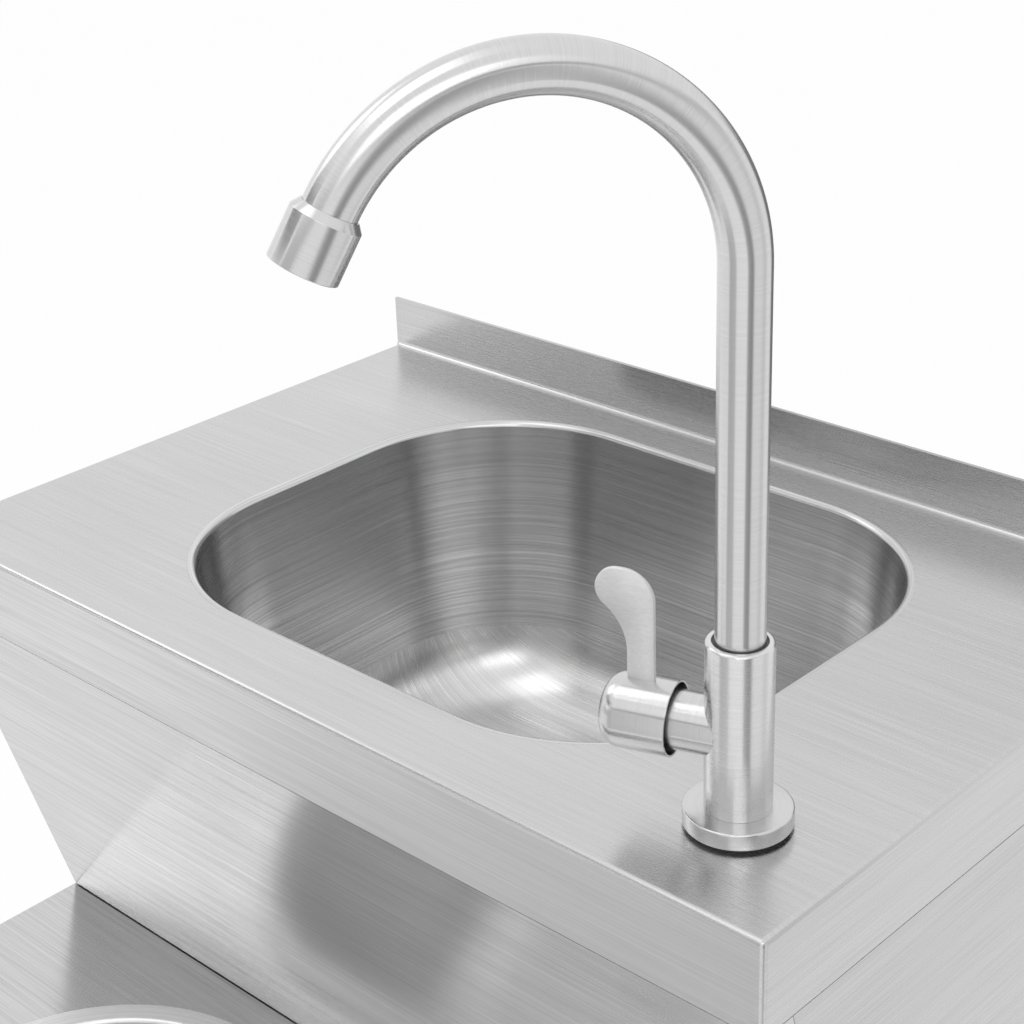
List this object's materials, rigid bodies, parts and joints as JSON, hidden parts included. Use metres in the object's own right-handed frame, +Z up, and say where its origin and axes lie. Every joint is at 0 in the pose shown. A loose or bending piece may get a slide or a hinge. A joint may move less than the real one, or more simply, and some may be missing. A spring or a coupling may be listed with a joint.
{
  "type": "hand wash sink",
  "caption": "Floor-standing stainless steel wash unit: a hand basin deck with a swivel gooseneck lever tap above and behind a bucket sink deck, on a cabinet with levelling feet.",
  "frame": {"origin": "floor level at the middle of the unit's footprint, under the soles of the levelling feet", "axes": "+Z up, +Y towards the wall, +X to the right of a person standing at the sink"},
  "size_m": [0.5, 0.6, 1.1399],
  "materials": {
    "sheet_steel": "satin stainless sheet with a fine straight brush",
    "bowl_steel": "satin stainless, brushed round the bowl",
    "tap_steel": "satin stainless, brushed round the tube",
    "bright_steel": "bright stainless",
    "foot_steel": "turned stainless",
    "black_rubber": "matt black rubber",
    "brass": "machined brass",
    "white_plastic": "white moulded plastic",
    "black_plastic": "black moulded plastic",
    "grey_plastic": "grey moulded plastic"
  },
  "bodies": {
    "cabinet": {"upper_deck": "sheet_steel", "lower_deck": "sheet_steel", "hand_basin": "bowl_steel", "bucket_bowl": "bowl_steel", "splash_panel": "sheet_steel", "front_panel": "sheet_steel", "side_wall_left": "sheet_steel", "side_wall_right": "sheet_steel", "rear_rail": "sheet_steel", "base_frame": "sheet_steel", "panel_screws": "bright_steel", "leg_tubes": "sheet_steel", "leg_plugs": "white_plastic", "hand_waste_grid": "bright_steel", "hand_waste_seal": "black_rubber", "hand_waste_washer": "black_rubber", "hand_waste_body": "grey_plastic", "hand_waste_screw": "bright_steel", "bucket_waste_grid": "bright_steel", "bucket_waste_seal": "black_rubber", "bucket_waste_washer": "black_rubber", "bucket_waste_body": "grey_plastic", "bucket_waste_screw": "bright_steel", "tap_gasket": "black_rubber", "tap_flange": "tap_steel", "tap_shank": "brass", "tap_stiffener": "sheet_steel", "shank_rubber_washer": "black_rubber", "shank_steel_washer": "bright_steel", "shank_nut": "brass", "tap_body": "tap_steel", "spout_bush": "black_plastic", "spout_o_rings": "black_rubber", "valve_cartridge": "brass", "valve_gland": "brass"},
    "lever": {"lever_cap": "tap_steel", "lever_blade": "tap_steel", "lever_grub_screw": "bright_steel", "valve_spindle": "brass"},
    "spout": {"spout_pipe": "tap_steel", "aerator_housing": "tap_steel", "aerator_washer": "black_rubber", "aerator_insert": "white_plastic"},
    "foot_front_left_screw": {"foot_front_left": "foot_steel"},
    "foot_front_right_screw": {"foot_front_right": "foot_steel"},
    "foot_rear_left_screw": {"foot_rear_left": "foot_steel"},
    "foot_rear_right_screw": {"foot_rear_right": "foot_steel"}
  },
  "joints": [
    {"name": "lever_turn", "type": "hinge", "parent": "cabinet", "child": "lever", "pos_m": [0.2003, 0.032, 0.8885], "axis": [0.9461, 0.3239, 0], "range_deg": [0, 90]},
    {"name": "spout_swivel", "type": "hinge", "parent": "cabinet", "child": "spout", "pos_m": [0.2003, 0.032, 0.92], "axis": [0, 0, 1], "continuous": true},
    {"name": "foot_front_left_adjust", "type": "slide", "parent": "cabinet", "child": "foot_front_left_screw", "axis": [0, 0, -1], "range_m": [0, 0.025]},
    {"name": "foot_front_right_adjust", "type": "slide", "parent": "cabinet", "child": "foot_front_right_screw", "axis": [0, 0, -1], "range_m": [0, 0.025]},
    {"name": "foot_rear_left_adjust", "type": "slide", "parent": "cabinet", "child": "foot_rear_left_screw", "axis": [0, 0, -1], "range_m": [0, 0.025]},
    {"name": "foot_rear_right_adjust", "type": "slide", "parent": "cabinet", "child": "foot_rear_right_screw", "axis": [0, 0, -1], "range_m": [0, 0.025]}
  ]
}
